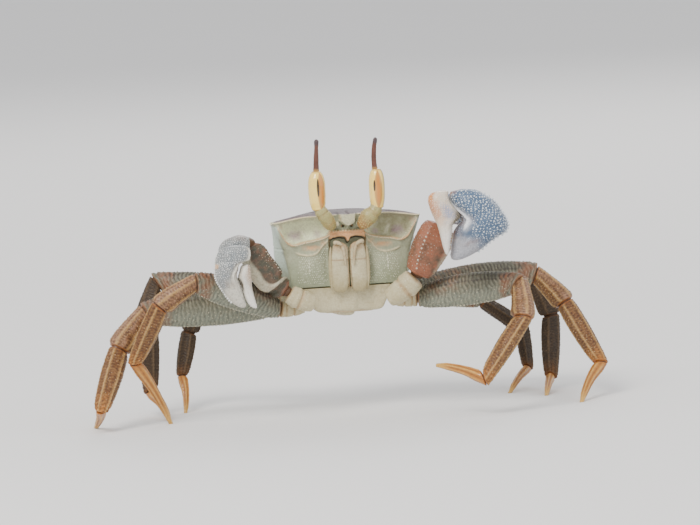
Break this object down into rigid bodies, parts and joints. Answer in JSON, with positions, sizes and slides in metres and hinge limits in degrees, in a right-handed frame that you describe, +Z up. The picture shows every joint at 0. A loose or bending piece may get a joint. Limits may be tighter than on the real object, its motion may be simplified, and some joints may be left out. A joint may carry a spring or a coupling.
{
  "type": "ghost crab",
  "caption": "Ghost crab standing high on its walking legs, one foot lifted, claws folded down in front, horned eye stalks raised",
  "frame": {"origin": "middle of the footprint box at floor level", "axes": "+X toward the crab's left side, -Y the way it faces, +Z up"},
  "size_m": [0.1354, 0.0652, 0.0722],
  "materials": {
    "shell": "smooth damp shell, grey green, dark marks toward the rear",
    "underside": "pale cream green shell, finely grained",
    "limb": "olive shell with dark bands and pale grains",
    "limb_outer": "brown scaly shell with pale ridges",
    "dactyl": "orange fluted shell, yellow tip",
    "claw": "slate blue shell set with white grains",
    "claw_finger": "cream shell with pink and orange grains",
    "eye": "glossy cream yellow, brown stripe",
    "stylet": "mauve brown horn, dark tip"
  },
  "bodies": {
    "root": {"carapace": "shell", "claw_left_base": "underside", "claw_left_carpus": "claw", "claw_left_finger": "claw_finger", "claw_left_merus": "limb", "claw_left_palm": "claw", "claw_right_base": "underside", "claw_right_carpus": "claw", "claw_right_finger": "claw_finger", "claw_right_merus": "limb", "claw_right_palm": "claw", "eye_left": "eye", "eye_right": "eye", "eyestalk_left": "underside", "eyestalk_right": "underside", "leg2_left_base": "underside", "leg2_left_carpus": "limb_outer", "leg2_left_dactyl": "dactyl", "leg2_left_merus": "limb", "leg2_left_propodus": "limb_outer", "leg2_right_base": "underside", "leg2_right_carpus": "limb_outer", "leg2_right_dactyl": "dactyl", "leg2_right_merus": "limb", "leg2_right_propodus": "limb_outer", "leg3_left_base": "underside", "leg3_left_carpus": "limb_outer", "leg3_left_dactyl": "dactyl", "leg3_left_merus": "limb", "leg3_left_propodus": "limb_outer", "leg3_right_base": "underside", "leg3_right_carpus": "limb_outer", "leg3_right_dactyl": "dactyl", "leg3_right_merus": "limb", "leg3_right_propodus": "limb_outer", "leg4_left_base": "underside", "leg4_left_carpus": "limb_outer", "leg4_left_dactyl": "dactyl", "leg4_left_merus": "limb", "leg4_left_propodus": "limb_outer", "leg4_right_base": "underside", "leg4_right_carpus": "limb_outer", "leg4_right_dactyl": "dactyl", "leg4_right_merus": "limb", "leg4_right_propodus": "limb_outer", "leg5_left_base": "underside", "leg5_left_carpus": "limb_outer", "leg5_left_dactyl": "dactyl", "leg5_left_merus": "limb", "leg5_left_propodus": "limb_outer", "leg5_right_base": "underside", "leg5_right_carpus": "limb_outer", "leg5_right_dactyl": "dactyl", "leg5_right_merus": "limb", "leg5_right_propodus": "limb_outer", "maxilliped_left": "underside", "maxilliped_right": "underside", "stylet_left": "stylet", "stylet_right": "stylet", "thorax": "underside"}
  },
  "joints": []
}
